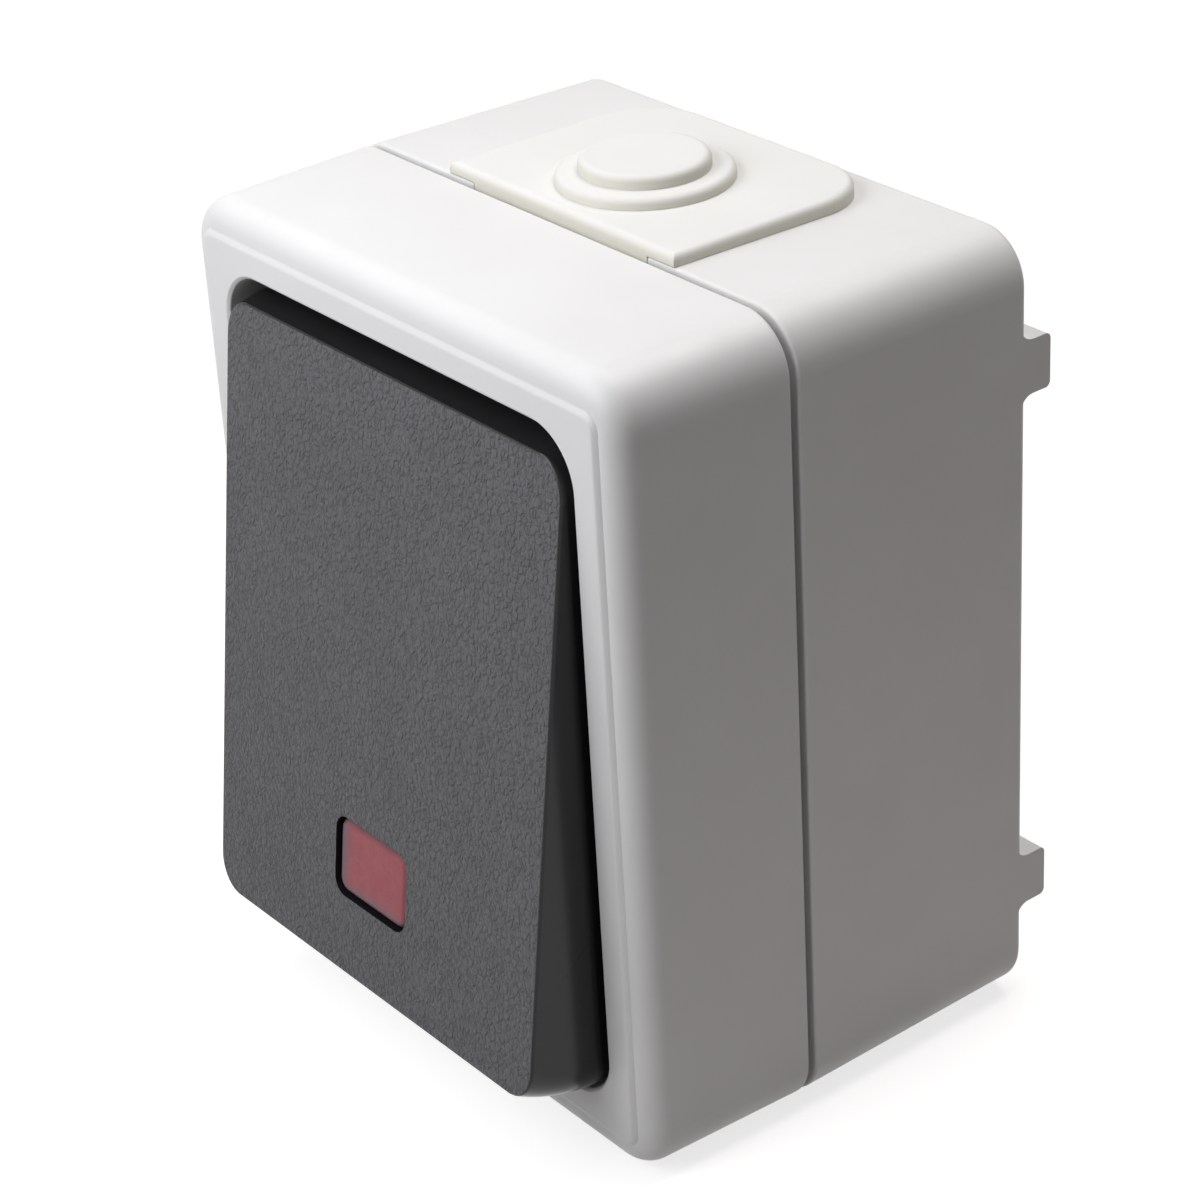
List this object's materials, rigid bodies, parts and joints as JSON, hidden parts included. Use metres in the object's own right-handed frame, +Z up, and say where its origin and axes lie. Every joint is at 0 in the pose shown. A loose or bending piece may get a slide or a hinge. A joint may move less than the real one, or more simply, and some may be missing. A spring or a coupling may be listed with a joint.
{
  "type": "surface mounted light switch",
  "caption": "Splash proof surface mounted light switch: drafted two piece housing, tilting rocker with red indicator window and a stepped cable gland on top.",
  "frame": {"origin": "middle of the back box's outer back face, half way between the two wall screw slots", "axes": "+X to the right seen from the front, +Y into the wall, +Z up as mounted, cable gland on top"},
  "size_m": [0.066, 0.0594, 0.0856],
  "materials": {
    "housing": "fine satin moulded plastic",
    "rocker_face": "grained face, glossy sides",
    "window": "frosted red translucent lens",
    "gland": "soft satin elastomer",
    "gasket": "matt",
    "insulator": "matt thermoset",
    "carrier": "satin",
    "copper_alloy": "stamped strip",
    "silver": "silver contact rivet",
    "steel": "zinc plated",
    "lamp_glass": "clear tube"
  },
  "bodies": {
    "housing": {"back_box": "housing", "front_cover": "housing", "cable_gland": "gland", "cover_gasket": "gasket", "cover_screw_upper": "steel", "cover_screw_lower": "steel", "mechanism_seal": "gasket", "mechanism_base": "insulator", "mechanism_cap": "insulator", "mechanism_screw_upper": "steel", "mechanism_screw_lower": "steel", "common_contact": "copper_alloy", "fixed_contact_upper": "copper_alloy", "fixed_contact_lower": "copper_alloy", "fixed_rivet_upper": "silver", "fixed_rivet_lower": "silver", "terminal_clamp_upper": "copper_alloy", "terminal_clamp_lower": "copper_alloy", "terminal_clamp_common": "copper_alloy", "terminal_screw_upper": "steel", "terminal_screw_lower": "steel", "terminal_screw_common": "steel", "lamp_holder": "carrier", "indicator_lamp": "lamp_glass", "lamp_pin_left": "steel", "lamp_pin_right": "steel"},
    "rocker": {"rocker": "rocker_face", "window_lens": "window", "rocker_carrier": "carrier"},
    "plunger": {"plunger": "carrier", "plunger_spring": "steel"},
    "contact": {"contact_blade": "copper_alloy", "moving_rivet_upper": "silver", "moving_rivet_lower": "silver"}
  },
  "joints": [
    {"name": "rocker_tilt", "type": "hinge", "parent": "housing", "child": "rocker", "pos_m": [0, -0.04745, 0], "axis": [1, 0, 0], "range_deg": [0, 15.3]},
    {"name": "plunger_slide", "type": "slide", "parent": "rocker", "child": "plunger", "axis": [0, -0.9911, 0.1331], "range_m": [0, 0.0006], "stiffness_N_per_m": 800, "springref_m": -0.002, "deforming": ["plunger_spring"]},
    {"name": "contact_tilt", "type": "hinge", "parent": "housing", "child": "contact", "pos_m": [0, -0.02655, 0], "axis": [1, 0, 0], "range_deg": [-12, 0]}
  ],
  "couplings": [
    {"joint": "contact_tilt", "follows": "rocker_tilt", "ratio": -0.78}
  ]
}
